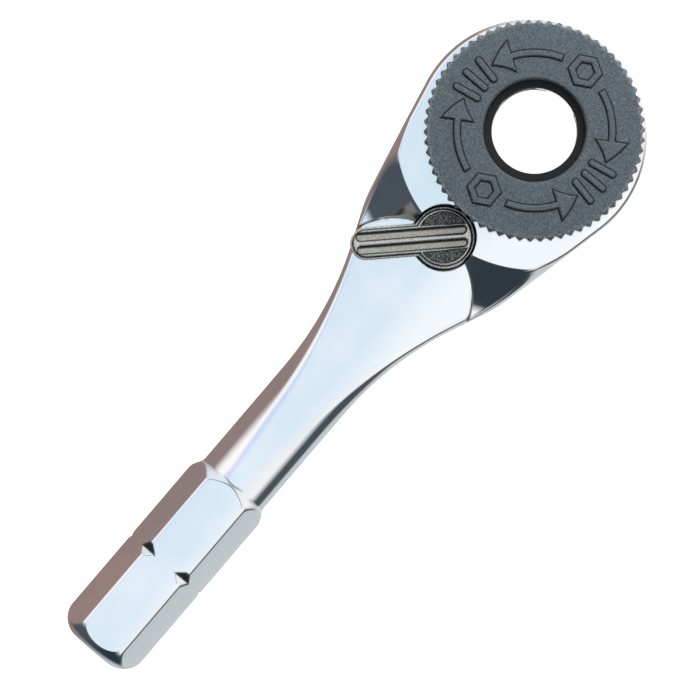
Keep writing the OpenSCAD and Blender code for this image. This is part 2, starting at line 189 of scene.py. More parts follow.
class WheelSizes(bpy.types.PropertyGroup):
    """Sizes of the knurled thumb wheel"""

    tip_radius: length("Tip radius", 8.2, "Radius at the tips of the knurl")
    knurl_depth: length("Knurl depth", 0.27, "Depth of the knurl")
    knurl_teeth: bpy.props.IntProperty(name="Knurl teeth", description="Number of teeth", default=66)
    bottom: length("Bottom", 9.1, "Height of the wheel's underside")
    top: length("Top", 11.85, "Height of the top of the raised marks")
    mark_height: length("Mark height", 0.2, "Height of the raised marks")
    bevel: length("Bevel", 0.3, "Bevel of the outer edges")
    edge: length("Edge", 0.06, "Softness of every edge")
    hole_radius: length("Hole radius", 3.79, "Radius of the hole in the wheel's top")
    hole_bevel: length("Hole bevel", 0.15, "Bevel of that hole")
    plate: length("Plate", 1.2, "Thickness of the top over the gear's hub")
    hub_bore: length("Hub bore", 4.91, "Radius of the bore that grips the gear's hub")
    spigot_radius: length("Spigot radius", 6.65, "Radius of the spigot in the head's bore")
    spigot_bottom: length("Spigot bottom", 7.15, "Height of the spigot's lower end")
    mark_radius: length("Mark radius", 5.75, "Radius of the ring of raised marks")
    mark_width: length("Mark width", 0.3, "Width of a raised line")
    mark_draft: number("Mark draft", 0.85, "Slope of the marks' walls")
    mark_room: length("Mark room", 1.5, "Room for the marks on each side of their ring")
    mark_grid: length("Mark grid", 0.06, "Spacing of the marks' mesh")
    hex_size: length("Hexagon size", 1.02, "Flat to centre of a raised hexagon")
    arrow_start: angle("Arrow start", 20, "Hexagon's middle to the start of an arrow")
    arrow_end: angle("Arrow end", 62, "Hexagon's middle to the end of an arrow's line")
    arrow_tip: length("Arrow tip", 1, "End of an arrow's line to the tip of its head")
    arrow_back: length("Arrow back", 0.35, "End of an arrow's line back to the base of its head")
    arrow_slope: number("Arrow slope", 0.75, "Half an arrow head's width for each length")
    bar_pitch: angle("Bar pitch", 11, "Angle between the short bars")


class LeverSizes(bpy.types.PropertyGroup):
    """Sizes of the reversing lever"""

    hub_radius: length("Hub radius", 2.25, "Radius of the hub")
    arm_length: length("Arm length", 6.9, "Axis to the tip of the arm")
    arm_width: length("Arm width", 2.3, "Width of the arm")
    top: length("Top", 8.7, "Height of the top")
    hub_bottom: length("Hub bottom", 6.55, "Height of the hub's underside")
    arm_bottom: length("Arm bottom", 7, "Height of the arm's underside")
    slot_width: length("Slot width", 0.46, "Width of a slot's floor")
    slot_pitch: length("Slot pitch", 0.98, "Distance between the two slots")
    slot_depth: length("Slot depth", 0.26, "Depth of the slots and the sunken hub faces")
    slot_end: length("Slot end", 0.5, "Arm's tip to the end of a slot's floor")
    slot_draft: number("Slot draft", 0.6, "Slope of the slots' walls")
    rim: length("Rim", 0.2, "Width of the raised rim round the hub")
    inset: length("Inset", 0.18, "How far the top lies inside the lever's own outline")
    ledge: length("Ledge", 0.09, "How far the walls stand inside that outline")
    ledge_top: length("Ledge top", 7.4, "Height of the narrow ledge along the foot")
    foot: length("Foot", 0.07, "How far the foot stands out past that outline")
    bevel_low: length("Bevel low", 8.15, "Height at which the steep bevel under the top's edge begins")
    bevel_high: length("Bevel high", 8.52, "Height at which that bevel ends")
    edge: length("Edge", 0.1, "Rounding of the outer edges")
    fine_edge: length("Fine edge", 0.06, "Rounding of the edges of slots, foot and bores")
    stem_radius: length("Stem radius", 1.22, "Radius of the stem")
    stem_bottom: length("Stem bottom", 1.55, "Height of the stem's lower end")
    groove_bottom: length("Groove bottom", 1.99, "Height of the clip's groove")
    groove_height: length("Groove height", 0.47, "Width of the clip's groove")
    groove_radius: length("Groove radius", 0.82, "Radius of the stem in that groove")
    ball_bore: length("Ball bore", 0.55, "Radius of the bore for ball and spring")
    spring_seat: length("Spring seat", 0.9, "Axis to the closed end of that bore")
    arm_angle: angle("Arm angle", 135, "Direction of the arm from +X at rest")
    grid: length("Grid", 0.06, "Spacing of the mesh")


class SpringSizes(bpy.types.PropertyGroup):
    """Sizes of the detent's coil spring"""

    wire: length("Wire", 0.12, "Diameter of the wire")
    coil_radius: length("Coil radius", 0.38, "Radius at the middle of the wire")
    low: length("Low end", -0.83, "Wire's lower end along the lever's bore")
    high: length("High end", 0.78, "Wire's upper end along the lever's bore")
    turns: number("Turns", 3, "Number of turns")
    stroke: length("Stroke", 0.25, "How far the ball pushes the spring together")


class FinishColours(bpy.types.PropertyGroup):
    """Colours of the finishes"""

    chrome: colour("Chrome", (0.74, 0.79, 0.84), "Polished chrome of the handle")
    # Cool and white chrome along the sides are painted light: one side of the handle darker and cooler, the
    # other whiter. White chrome also tints the haze and the gear's bright socket.
    chrome_cool: colour("Cool chrome", (0.69, 0.76, 0.82), "Cooler chrome along one side")
    chrome_white: colour("White chrome", (0.98, 0.925, 0.89), "Whiter chrome along the other side")
    wheel: colour("Wheel", (0.052, 0.063, 0.07), "Dark cast finish of the thumb wheel")
    wheel_wear: colour("Wheel wear", (0.34, 0.36, 0.37), "Rubbed edges of the thumb wheel")
    nickel: colour("Nickel", (0.55, 0.54, 0.5), "Nickel of the lever's raised faces")
    slot_floor: colour("Slot floor", (0.6, 0.57, 0.5), "Grained floors of the lever's slots")
    hub_floor: colour("Hub floor", (0.085, 0.09, 0.085), "Grained sunken faces of the lever's hub")
    # The gear's colour also serves as painted shade in the chrome's bores and low walls and on the lever's
    # walls.
    gear: colour("Gear", (0.02, 0.021, 0.022), "Oiled dark steel of gear, pawl and snap rings")
    bright: colour("Bright steel", (0.6, 0.61, 0.62), "Bright steel of pin, ball, spring and retaining ring")
    floor: colour("Floor", (0.9, 0.9, 0.9), "Pale floor")


class StageSizes(bpy.types.PropertyGroup):
    """Places of the camera, the floor and the light"""

    aim: point("Aim", (-21.2, -0.14, 9), "Point at the middle of the picture")
    distance: length("Distance", 1400, "Camera to the aim point")
    span: length("Span", 51.85, "Width of the picture at the aim point")
    turn: angle("Turn", -49.5, "Turn of the picture about the upright axis")
    lean: angle("Lean", -0.5, "Lean of the camera towards the +Y side")
    floor_radius: length("Floor radius", 2600, "Radius of the level floor")
    wall_height: length("Wall height", 900, "Height of the wall that the floor runs up into")
    key_place: point("Key place", (60, 22, 75), "Middle of the key light")
    key_size: length("Key size", 50, "Diameter of the key light")
    key_power: number("Key power", 0.11, "Power of the key light in watts")


# Distance fields, in millimetres and negative inside a solid


def soft_max(a, b, blend):
    """The larger of two distances, with the edge between them rounded."""
    near = np.maximum(blend - np.abs(a - b), 0)
    return np.maximum(a, b) + near * near / (4 * blend)


def cut(solid, hole, blend):
    """A solid less a hole, with the edge between them rounded."""
    return soft_max(solid, -hole, blend)


def round_edge(across, along, radius):
    """Distance to a solid whose two faces meet in an edge of a given radius."""
    a = across + radius
    b = along + radius
    return np.minimum(np.maximum(a, b), 0) + np.hypot(np.maximum(a, 0), np.maximum(b, 0)) - radius


def bar(u, v, start, end, width):
    """Distance in plan to a straight bar with round ends along u."""
    past = u - np.clip(u, start + width / 2, end - width / 2)
    return np.hypot(past, v) - width / 2


def share_between(value, start, end):
    """How far a value has come from a start, where the share is 0, to an end, where it is 1."""
    return np.clip((value - start) / (end - start), 0, 1)


def slope(field, points):
    """Values and gradients of a field at a list of points."""
    gap = 0.004
    value = field(*points.T)
    gradient = np.empty_like(points)
    for axis in range(3):
        step = np.zeros(3)
        step[axis] = gap
        gradient[:, axis] = (field(*(points + step).T) - field(*(points - step).T)) / (2 * gap)
    return value, gradient


CORNERS = np.array([(i, j, k) for i in (0, 1) for j in (0, 1) for k in (0, 1)])
EDGES = [(a, b) for a in range(8) for b in range(a) if np.abs(CORNERS[a] - CORNERS[b]).sum() == 1]


def crossed_cells(inside):
    """Grid cells that the surface passes through."""
    count = np.zeros(np.array(inside.shape) - 1, np.int8)
    for i, j, k in CORNERS:
        ends = [n - 1 + o for n, o in zip(inside.shape, (i, j, k))]
        count += inside[i : ends[0], j : ends[1], k : ends[2]]
    return np.argwhere((count > 0) & (count < 8)), count.shape


def unit(vectors):
    """Vectors of length one."""
    return vectors / np.maximum(np.linalg.norm(vectors, axis=1, keepdims=True), 1e-6)


def cell_points(field, value, cells, origin, grid):
    """One point in each cell, drawn onto the edge or corner that the surface has there."""
    hold, reach = 0.05, 0.7 * grid
    total = np.zeros((len(cells), 3))
    hits = np.zeros((len(cells), 1))
    facing = np.zeros((len(cells), 3, 3))
    pull = np.zeros((len(cells), 3))
    for a, b in EDGES:
        low = value[tuple((cells + CORNERS[a]).T)]
        high = value[tuple((cells + CORNERS[b]).T)]
        hit = np.flatnonzero((low < 0) != (high < 0))
        share = (low[hit] / (low[hit] - high[hit]))[:, None]
        spot = origin + grid * (cells[hit] + CORNERS[a] + share * (CORNERS[b] - CORNERS[a]))
        normal = unit(slope(field, spot)[1])
        total[hit] += spot
        hits[hit] += 1
        facing[hit] += normal[:, :, None] * normal[:, None, :]
        pull[hit] += normal * (normal * spot).sum(1, keepdims=True)
    middle = total / hits
    lack = pull - np.einsum("nij,nj->ni", facing, middle)
    shift = np.linalg.solve(facing + hold * np.eye(3), lack[:, :, None])[:, :, 0]
    return middle + np.clip(shift, -reach, reach)


def cell_faces(inside, cells, shape):
    """Four-sided faces that join the cells round each crossed grid line."""
    index = np.full(shape, -1)
    index[tuple(cells.T)] = np.arange(len(cells))
    faces = []
    for axis in range(3):
        ahead = np.roll(inside, -1, axis)
        lines = np.argwhere(inside != ahead)
        u, v = np.eye(3, dtype=int)[[(axis + 1) % 3, (axis + 2) % 3]]
        around = [index[tuple((lines - shift).T)] for shift in (0 * u, u, u + v, v)]
        quads = np.stack(around, 1)
        leaves = inside[tuple(lines.T)]
        faces.append(np.where(leaves[:, None], quads, quads[:, ::-1]))
    return np.concatenate(faces)


def skin(name, field, low, high, grid):
    """Makes a mesh object round what lies inside a field, with the field's slope as its normals."""
    rounds, least_slope = 2, 0.1
    axes = [np.arange(a - 2 * grid, b + 3 * grid, grid) for a, b in zip(low, high)]
    value = field(*np.meshgrid(*axes, indexing="ij", sparse=True))
    inside = value < 0
    cells, shape = crossed_cells(inside)
    points = cell_points(field, value, cells, np.array([axis[0] for axis in axes]), grid)
    for _ in range(rounds):
        distance, gradient = slope(field, points)
        steep = np.maximum((gradient * gradient).sum(1), least_slope)
        points -= np.clip(distance / steep, -grid, grid)[:, None] * gradient
    faces = cell_faces(inside, cells, shape)
    return mesh_object(name, points, faces, corner_normals(field, points[faces]))


def corner_normals(field, corners):
    """A normal for each corner of each face, taken a little way into the face so that edges stay crisp."""
    inward = 0.25
    spots = corners + inward * (corners.mean(1, keepdims=True) - corners)
    return unit(slope(field, spots.reshape(-1, 3))[1])


def mesh_points(piece):
    """A piece's points in millimetres, as three lists of coordinates."""
    points = np.empty(len(piece.data.vertices) * 3)
    piece.data.vertices.foreach_get("co", points)
    return points.reshape(-1, 3).T / MM


def mark_points(piece, name, share):
    """Stores a share for each point, which a finish reads by name."""
    layer = piece.data.attributes.new(name, "FLOAT", "POINT")
    layer.data.foreach_set("value", share.astype(np.float32))


def ring(radius, height, turn):
    """A row of points round the upright axis."""
    return np.stack([radius * np.cos(turn), radius * np.sin(turn), np.full(len(turn), height)], 1)


def strip_faces(rows, columns, closed=False):
    """Four-sided faces between rings of points, the last ring joined to the first one if closed."""
    i, j = np.meshgrid(np.arange(rows if closed else rows - 1), np.arange(columns), indexing="ij")
    below, beside = (i + 1) % rows, (j + 1) % columns
    corners = [(i, j), (below, j), (below, beside), (i, beside)]
    return np.stack([(a * columns + b).ravel() for a, b in corners], 1).tolist()


def mesh_object(name, points, faces, normals=None):
    """A smooth mesh object from points in millimetres."""
    sharp_from = math.radians(32)
    mesh = bpy.data.meshes.new(name)
    mesh.from_pydata(points * MM, [], faces)
    mesh.shade_smooth()
    if normals is None:
        mesh.set_sharp_from_angle(angle=sharp_from)
    else:
        mesh.normals_split_custom_set(normals)
    made = bpy.data.objects.new(name, mesh)
    bpy.context.scene.collection.objects.link(made)
    return made


def place(piece, body, node, finish):
    """Hands a finished piece to the frame in the place of its node."""
    piece.data.materials.append(finish)
    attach(piece, body)
    if node:
        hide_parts(node)


# Shape of the handle, with s along it from the drive axis and up from the middle of its thickness


def head_plan(handle, x, y):
    """Distance in plan to the round head with its two straight tapered sides."""
    side = np.abs(y)
    ahead = x + handle.head_back
    along = -ahead * math.cos(handle.side_taper) - side * math.sin(handle.side_taper)
    straight = side * math.cos(handle.side_taper) - ahead * math.sin(handle.side_taper)
    return np.where(along > 0, straight, np.hypot(ahead, y)) - handle.head_radius


def half_outline(handle, s, neck, start, flare, shank, end):
    """Half the handle's width at a distance from the drive axis."""
    run = start - handle.flare_start
    drop = math.sqrt(flare**2 - run**2)
    straight = neck + flare - drop + (handle.flare_start - s) * run / drop
    curve = neck + flare - np.sqrt(flare**2 - np.clip(start - s, 0, run) ** 2)
    hex_start = handle.reach - handle.shank_length
    rise = share_between(s, hex_start - handle.shank_cone, hex_start)
    shaft = neck + (shank - neck) * rise * rise * (3 - 2 * rise)
    shaft = -soft_max(-shaft, s - handle.reach - end, handle.end_edge)
    return np.where(s < handle.flare_start, straight, np.where(s < start, curve, shaft))


def outline_distance(handle, s, out, *shape):
    """Distance to a surface that follows one of the handle's outlines."""
    gap = 0.05
    lean = (half_outline(handle, s + gap, *shape) - half_outline(handle, s - gap, *shape)) / (2 * gap)
    return (out - half_outline(handle, s, *shape)) / np.sqrt(1 + lean * lean)


def handle_blank(handle, s, y, up):
    """Distance to the handle as it is turned, trimmed along its sides and cut to length."""
    turned = outline_distance(
        handle,
        s,
        np.hypot(y, up),
        handle.neck_radius,
        handle.neck_start,
        handle.flare_radius,
        handle.corner_radius,
        handle.shank_end,
    )
    trimmed = outline_distance(
        handle,
        s,
        np.abs(y),
        handle.trim_half,
        handle.trim_start,
        handle.trim_flare,
        handle.shank_trim,
        handle.trim_end,
    )
    return soft_max(soft_max(turned, trimmed, handle.crease / 2), s - handle.reach, handle.end_edge)


def hex_prism(handle, y, up):
    """Distance to the shank's six flats, two of which face up and down."""
    slanted = up / 2 + np.abs(y) * math.sin(math.radians(60))
    return soft_max(up, slanted, handle.crease) - handle.shank_flats / 2


def corner_notches(handle, s, y, up):
    """What is cut away by the straight V notches across the shank's corners."""
    side = np.abs(y)
    corner = np.maximum(side, side / 2 + up * math.cos(math.radians(30)))
    lean = 2 * (handle.corner_radius - handle.notch_radius) / handle.notch_width
    bottom = handle.notch_radius + lean * np.abs(s - handle.reach + handle.notch_at)
    return (bottom - corner) / math.hypot(1, lean)


def thumb_rest_plan(handle, s, y):
    """Distance in plan to a thumb rest, which has a round end towards the head."""
    round_end = np.hypot(s - handle.rest_end_at, y) - handle.rest_end_radius
    return np.minimum(round_end, handle.rest_end_at - s)


def thumb_rest_cut(handle, s, plan, up):
    """What is cut away over a thumb rest."""
    run = np.clip(s - handle.runout_at, 0, handle.reach)
    level = handle.rest_half + handle.runout_radius - np.sqrt(handle.runout_radius**2 - run**2)
    return np.maximum(plan, level - up)


def cove_cut(handle, s, y, plan, up):
    """What is cut away by the cove between a face of the head and the thumb rest."""
    floor = handle.rest_half - handle.cove_drop
    fall = handle.head_height / 2 - floor
    run = handle.cove_end - handle.face_radius
    radius = (fall**2 + run**2) / (2 * fall)
    out = np.hypot(s, y)
    arc = np.hypot(out - handle.cove_end, up - floor - radius) - radius
    return np.maximum(-plan, np.where(out < handle.cove_end, arc, floor - up))


def head_bores(handle, bores, x, y, z):
    """Seats and bores for the gear, the lever, the pawl and its pin."""
    lever_at = -joint_place("lever_swing")[0]
    pin_at = -joint_place("pawl_rock")[0]
    drive = np.hypot(x, y)
    lever = np.hypot(x + lever_at, y)
    pin = np.hypot(x + pin_at, y)
    off_middle = np.abs(z - handle.head_height / 2) - bores.pocket_height / 2
    round_pocket = np.maximum(pin - bores.pocket_radius, -x - pin_at - bores.pocket_back)
    pocket = np.maximum(round_pocket, x + pin_at / 2)
    holes = [
        np.maximum(drive - bores.gear_bore, bores.web_top - z),
        drive - bores.journal_bore,
        np.maximum(drive - bores.recess_radius, z - bores.recess_depth),
        np.maximum(lever - bores.seat_radius, bores.seat_floor - z),
        lever - bores.stem_bore,
        np.maximum(lever - bores.clip_radius, z - bores.clip_depth),
        np.maximum(pin - bores.pin_bore, z - bores.pin_top),
        np.maximum(np.minimum(pocket, lever - bores.swing_radius), off_middle),
    ]
    return np.minimum.reduce(np.broadcast_arrays(*holes))


def body_field(handle):
    """Field of the handle before its bores are made."""
    half = handle.head_height / 2
    hex_from = handle.reach - handle.shank_length - 3 * handle.shank_cone
    fine_edge = handle.crease / 2

    def field(x, y, z):
        s = -x
        up = np.abs(z - half)
        plate = round_edge(head_plan(handle, x, y), up - half, handle.head_edge)
        head = np.where(s < handle.runout_at, plate, -half)
        solid = soft_max(handle_blank(handle, s, y, up), head, handle.crease)
        solid = soft_max(solid, np.where(s > hex_from, hex_prism(handle, y, up), -half), fine_edge)
        plan = thumb_rest_plan(handle, s, y)
        solid = cut(solid, thumb_rest_cut(handle, s, plan, up), handle.rest_edge)
        solid = cut(solid, cove_cut(handle, s, y, plan, up), handle.crease)
        return cut(solid, corner_notches(handle, s, y, up), fine_edge)

    return field


def rest_wall_shade_share(handle, x, y, z):
    """How far a point lies on the low wall round a thumb rest's end, which is given painted shade."""
    below = (handle.rest_half - np.abs(z - handle.head_height / 2)) / handle.cove_drop
    beside = np.abs(thumb_rest_plan(handle, -x, y)) / handle.crease
    on_wall = share_between(below, 1 / 6, 1 / 2) * share_between(below, 4 / 3, 1)
    return on_wall * share_between(beside, 2 / 3, 1 / 3)


def notch_wall_shade_share(handle, x, y, z):
    """How far a point lies on a notch's wall that faces the shank's end, which is given painted shade."""
    past = (handle.reach - handle.notch_at + x) / handle.crease
    wall = np.abs(corner_notches(handle, -x, y, np.abs(z - handle.head_height / 2))) / handle.crease
    return share_between(wall, 1 / 3, 1 / 6) * share_between(past, -1 / 6, 1 / 6)


def handle_field(handle, bores):
    """Field of the whole handle."""
    body = body_field(handle)

    def field(x, y, z):
        return cut(body(x, y, z), head_bores(handle, bores, x, y, z), handle.crease / 2)

    return field


class RATCHET_OT_handle(bpy.types.Operator):
    """Make the forged handle with its head, thumb rests, neck and hex shank"""

    bl_idname = "ratchet.handle"
    bl_label = "Handle"

    def execute(self, context):
        sizes = in_millimetres(context.scene.ratchet_handle)
        bores = in_millimetres(context.scene.ratchet_bores)
        low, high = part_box("handle_body")
        piece = skin("handle", handle_field(sizes, bores), low / MM, high / MM, sizes.grid)
        points = mesh_points(piece)
        # The bore share darkens the chrome: dark steel in the bores, with painted shade there, and painted
        # shade on the low wall round each thumb rest and on the notch walls facing the shank's end.
        depth = -body_field(sizes)(*points) / sizes.crease
        in_bore = share_between(depth, 0.5, 1)
        notch_shade_tone = 0.9
        dark = [in_bore, rest_wall_shade_share(sizes, *points), notch_shade_tone * notch_wall_shade_share(sizes, *points)]
        mark_points(piece, "bore", np.maximum.reduce(dark))
        place(piece, "body", "handle_body", polished_chrome(context.scene.ratchet_finish))
        return {"FINISHED"}


# Shape of the thumb wheel


def wheel_profile(wheel):
    """Half the wheel's section as radius and height, from under its top, round its rim, to its spigot."""
    face = wheel.top - wheel.mark_height
    ledge = wheel.top - wheel.plate
    rim = wheel.tip_radius + wheel.edge
    corners = [
        (wheel.hub_bore, ledge),
        (wheel.hole_radius, ledge),
        (wheel.hole_radius, face - wheel.hole_bevel),
        (wheel.hole_radius + wheel.hole_bevel, face),
        (rim - wheel.bevel, face),
        (rim, face - wheel.bevel),
        (rim, wheel.bottom + wheel.bevel),
        (rim - wheel.bevel, wheel.bottom),
        (wheel.spigot_radius, wheel.bottom),
        (wheel.spigot_radius, wheel.spigot_bottom),
        (wheel.hub_bore, wheel.spigot_bottom),
    ]
    return soften(corners, wheel.edge)


def soften(corners, size):
    """A closed outline with each corner replaced by a short curve, and long sides split."""
    longest = 0.5
    points = []
    for before, here, after in zip(corners[-1:] + corners[:-1], corners, corners[1:] + corners[:1]):
        here = Vector(here)
        start = here + (Vector(before) - here).normalized() * size
        end = here + (Vector(after) - here).normalized() * size
        for share in (0, 0.25, 0.5, 0.75, 1):
            points.append(start.lerp(here, share).lerp(here.lerp(end, share), share))
        side = Vector(after) - here
        parts = int(side.length / longest)
        for i in range(1, parts):
            points.append(here + side * i / parts)
    return points


def knurl_radius(wheel, turn):
    """Radius of the V knurl, with tips and roots a little rounded."""
    tooth = turn * wheel.knurl_teeth / (2 * math.pi)
    fall = 2 * np.abs(tooth - np.round(tooth))
    rounded = (1 - np.cos(math.pi * fall)) / 2
    return wheel.tip_radius - wheel.knurl_depth * (fall + 2 * rounded) / 3


def wheel_mesh(wheel):
    """Points and faces of the knurled wheel."""
    columns_per_tooth = 10
    columns = wheel.knurl_teeth * columns_per_tooth
    turn = np.arange(columns) * 2 * math.pi / columns
    knurl = knurl_radius(wheel, turn)
    rows = [ring(np.minimum(radius, knurl), height, turn) for radius, height in wheel_profile(wheel)]
    return np.concatenate(rows), strip_faces(len(rows), columns, closed=True)


def hexagon(u, v, size):
    """Distance in plan to a hexagon."""
    u, v = np.abs(u), np.abs(v)
    return np.maximum(u * math.cos(math.radians(30)) + v / 2, v) - size


def curved_arrow(wheel, turn, out, start, end):
    """Distance in plan to an arrow that runs round the wheel."""
    middle, half = (start + end) / 2, (end - start) / 2
    off = (turn - middle + math.pi) % (2 * math.pi) - math.pi
    across = np.abs(out - wheel.mark_radius)
    line = np.maximum(across - wheel.mark_width / 2, (np.abs(off) - abs(half)) * wheel.mark_radius)
    ahead = (off - half) * wheel.mark_radius * math.copysign(1, half)
    sides = (across + (ahead - wheel.arrow_tip) * wheel.arrow_slope) / math.hypot(1, wheel.arrow_slope)
    return np.minimum(line, np.maximum(sides, -ahead - wheel.arrow_back))


def wheel_marks_field(wheel):
    """Field of the raised marks: hexagon outlines, curved arrows and short bars, twice round the wheel."""
    face = wheel.top - wheel.mark_height

    def field(x, y, z):
        out = np.hypot(x, y)
        turn = np.arctan2(y, x)
        half_turn = (turn + math.pi / 2) % math.pi - math.pi / 2
        u = out * np.cos(half_turn) - wheel.mark_radius
        v = out * np.sin(half_turn)
        plan = np.abs(hexagon(u, v, wheel.hex_size) + wheel.mark_width / 2) - wheel.mark_width / 2
        for side in (1, -1):
            arrow = curved_arrow(wheel, half_turn, out, side * wheel.arrow_start, side * wheel.arrow_end)
            plan = np.minimum(plan, arrow)
        quarter = turn % math.pi - math.pi / 2
        for bar_turn in (-wheel.bar_pitch, 0, wheel.bar_pitch):
            beside = out * np.sin(quarter - bar_turn)
            along = out * np.cos(quarter - bar_turn) - wheel.mark_radius
            plan = np.minimum(plan, bar(along, beside, -wheel.hex_size, wheel.hex_size, wheel.mark_width))
        plan = (plan - wheel.mark_draft * (wheel.top - z)) / math.hypot(1, wheel.mark_draft)
        return soft_max(plan, np.maximum(z - wheel.top, face - wheel.mark_height - z), wheel.mark_height / 4)

    return field


class RATCHET_OT_wheel(bpy.types.Operator):
    """Make the knurled thumb wheel and its raised marks"""

    bl_idname = "ratchet.wheel"
    bl_label = "Thumb wheel"

    def execute(self, context):
        sizes = in_millimetres(context.scene.ratchet_wheel)
        finish = dark_cast(context.scene.ratchet_finish, sizes)
        wheel = mesh_object("knurled_wheel", *wheel_mesh(sizes))
        place(wheel, "gear", "thumb_wheel", finish)
        edge = sizes.mark_radius + sizes.mark_room
        low = (-edge, -edge, sizes.top - 2 * sizes.mark_height)
        marks = skin("wheel_marks", wheel_marks_field(sizes), low, (edge, edge, sizes.top), sizes.mark_grid)
        # The lower part of the marks' walls is stored as foot, for painted shade round each mark.
        fall = (sizes.top - mesh_points(marks)[2]) / sizes.mark_height
        mark_points(marks, "foot", share_between(fall, 4 / 15, 3 / 5))
        place(marks, "gear", None, finish)
        return {"FINISHED"}


# Shape of the reversing lever


def lever_local(lever, x, y):
    """Coordinates along and across the lever's arm from its axis."""
    ahead = x - joint_place("lever_swing")[0]
    u = ahead * math.cos(lever.arm_angle) + y * math.sin(lever.arm_angle)
    v = y * math.cos(lever.arm_angle) - ahead * math.sin(lever.arm_angle)
    return u, v


def lever_slots(lever, u, v):
    """Distance in plan to the two slots along the arm."""
    far = -(lever.hub_radius - lever.inset - lever.rim - lever.slot_width / 2)
    return bar(u, np.abs(v) - lever.slot_pitch / 2, far, lever.arm_length - lever.slot_end, lever.slot_width)


def hub_segments(lever, out, v):
    """Distance in plan to the hub's two sunken faces beside the arm."""
    past_rim = out - lever.hub_radius + lever.inset + lever.rim
    into_arm = lever.arm_width / 2 - lever.inset - np.abs(v)
    return np.maximum(past_rim, into_arm)


def lever_field(lever, middle):
    """Field of the lever with its arm, hub and stem."""
    floor = lever.top - lever.slot_depth

    def field(x, y, z):
        u, v = lever_local(lever, x, y)
        out = np.hypot(u, v)
        up_bevel = share_between(z, lever.bevel_low, lever.bevel_high)
        inset = lever.ledge + (lever.inset - lever.ledge) * up_bevel
        draft = lever.slot_draft * (z - floor)
        hub_plan = out - lever.hub_radius
        under_hub = lever.hub_bottom - z
        hub = round_edge(hub_plan + inset, np.maximum(z - lever.top, under_hub), lever.edge)
        hub = cut(hub, np.maximum(hub_segments(lever, out, v) - draft / 2, floor - z), lever.fine_edge)
        arm_plan = bar(u, v, -lever.arm_width / 2, lever.arm_length, lever.arm_width)
        under_arm = lever.arm_bottom - z
        arm = round_edge(arm_plan + inset, np.maximum(z - lever.top, under_arm), lever.edge)
        stem = round_edge(out - lever.stem_radius, np.maximum(lever.stem_bottom - z, z - floor), lever.edge)
        over_foot = z - lever.ledge_top
        hub_foot = round_edge(hub_plan - lever.foot, np.maximum(over_foot, under_hub), lever.fine_edge)
        arm_foot = round_edge(arm_plan - lever.foot, np.maximum(over_foot, under_arm), lever.fine_edge)
        solid = np.minimum.reduce([hub, arm, stem, hub_foot, arm_foot])
        solid = cut(solid, np.maximum(lever_slots(lever, u, v) - draft, floor - z), lever.fine_edge)
        in_groove = np.abs(z - lever.groove_bottom - lever.groove_height / 2) - lever.groove_height / 2
        solid = cut(solid, np.maximum(lever.groove_radius - out, in_groove), lever.fine_edge / 2)
        bore = np.maximum(np.hypot(v, z - middle) - lever.ball_bore, u - lever.spring_seat)
        return cut(solid, bore, lever.fine_edge)

    return field


def mark_lever(piece, lever):
    """Stores which points lie on the slots' floors and on the hub's sunken faces, and a wall share for
    painted shade on the walls between, along one edge of each slot's floor and on the lever's sides.
    """
    x, y, z = mesh_points(piece)
    u, v = lever_local(lever, x, y)
    above = (z - lever.top + lever.slot_depth) / lever.slot_depth
    floor = share_between(above, 1 / 4, 1 / 12) * (above > -1)
    slots = lever_slots(lever, u, v)
    hub = hub_segments(lever, np.hypot(u, v), v)
    sunken = np.minimum(slots, hub)
    # Painted shade on the steep walls of the slots and sunken faces.
    wall = share_between(above, 0, 0.2) * share_between(above, 0.8, 0.6) * (sunken < lever.slot_depth)
    beside = 0.05
    slot_floor = floor * (slots < beside)
    hub_floor = floor * (hub < beside)
    # Painted shadow: a dark band along one long edge of each slot's floor, as if cast by the rib beside it.
    from_edge = (lever.slot_width / 2 + v - np.copysign(lever.slot_pitch / 2, v)) / lever.slot_width
    slot_shadow_width = 0.29
    slot_shadow = slot_floor * share_between(from_edge, slot_shadow_width, slot_shadow_width / 2)
    # Painted shade on the lever's side walls, half as dark below the bevel.
    on_side = share_between(np.minimum(z - lever.ledge_top, lever.bevel_high - z) / lever.grid, -0.2, 0.8)
    lower_side_shade = 0.5
    side = on_side * np.where(z < lever.bevel_low, lower_side_shade, 1) * (sunken > lever.rim / 4)
    mark_points(piece, "slot_floor", slot_floor)
    mark_points(piece, "hub_floor", hub_floor)
    mark_points(piece, "wall", np.maximum.reduce([wall, slot_shadow, side]))


class RATCHET_OT_lever(bpy.types.Operator):
    """Make the reversing lever with its slotted arm, hub and stem"""

    bl_idname = "ratchet.lever"
    bl_label = "Reversing lever"

    def execute(self, context):
        sizes = in_millimetres(context.scene.ratchet_lever)
        middle = joint_place("lever_swing")[2]
        low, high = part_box("reversing_lever")
        piece = skin("slotted_lever", lever_field(sizes, middle), low / MM, high / MM, sizes.grid)
        mark_lever(piece, sizes)
        place(piece, "lever", "reversing_lever", satin_nickel(context.scene.ratchet_finish))
        return {"FINISHED"}


# Small pieces


def spring_mesh(sizes):
    """Points, with x along the lever's bore, and faces of the coil of round wire."""
    rings_per_turn, sides = 36, 14
    rings = int(sizes.turns * rings_per_turn) + 1
    share = np.linspace(0, 1, rings)[:, None]
    round_coil = share * sizes.turns * 2 * math.pi
    round_wire = np.arange(sides)[None, :] * 2 * math.pi / sides
    out = sizes.coil_radius + sizes.wire / 2 * np.cos(round_wire)
    along = sizes.low + share * (sizes.high - sizes.low) + sizes.wire / 2 * np.sin(round_wire)
    points = np.stack([along, out * np.cos(round_coil), out * np.sin(round_coil)], 2).reshape(-1, 3)
    ends = [list(range(sides)), list(range(rings * sides - 1, rings * sides - sides - 1, -1))]
    return points, strip_faces(rings, sides) + ends


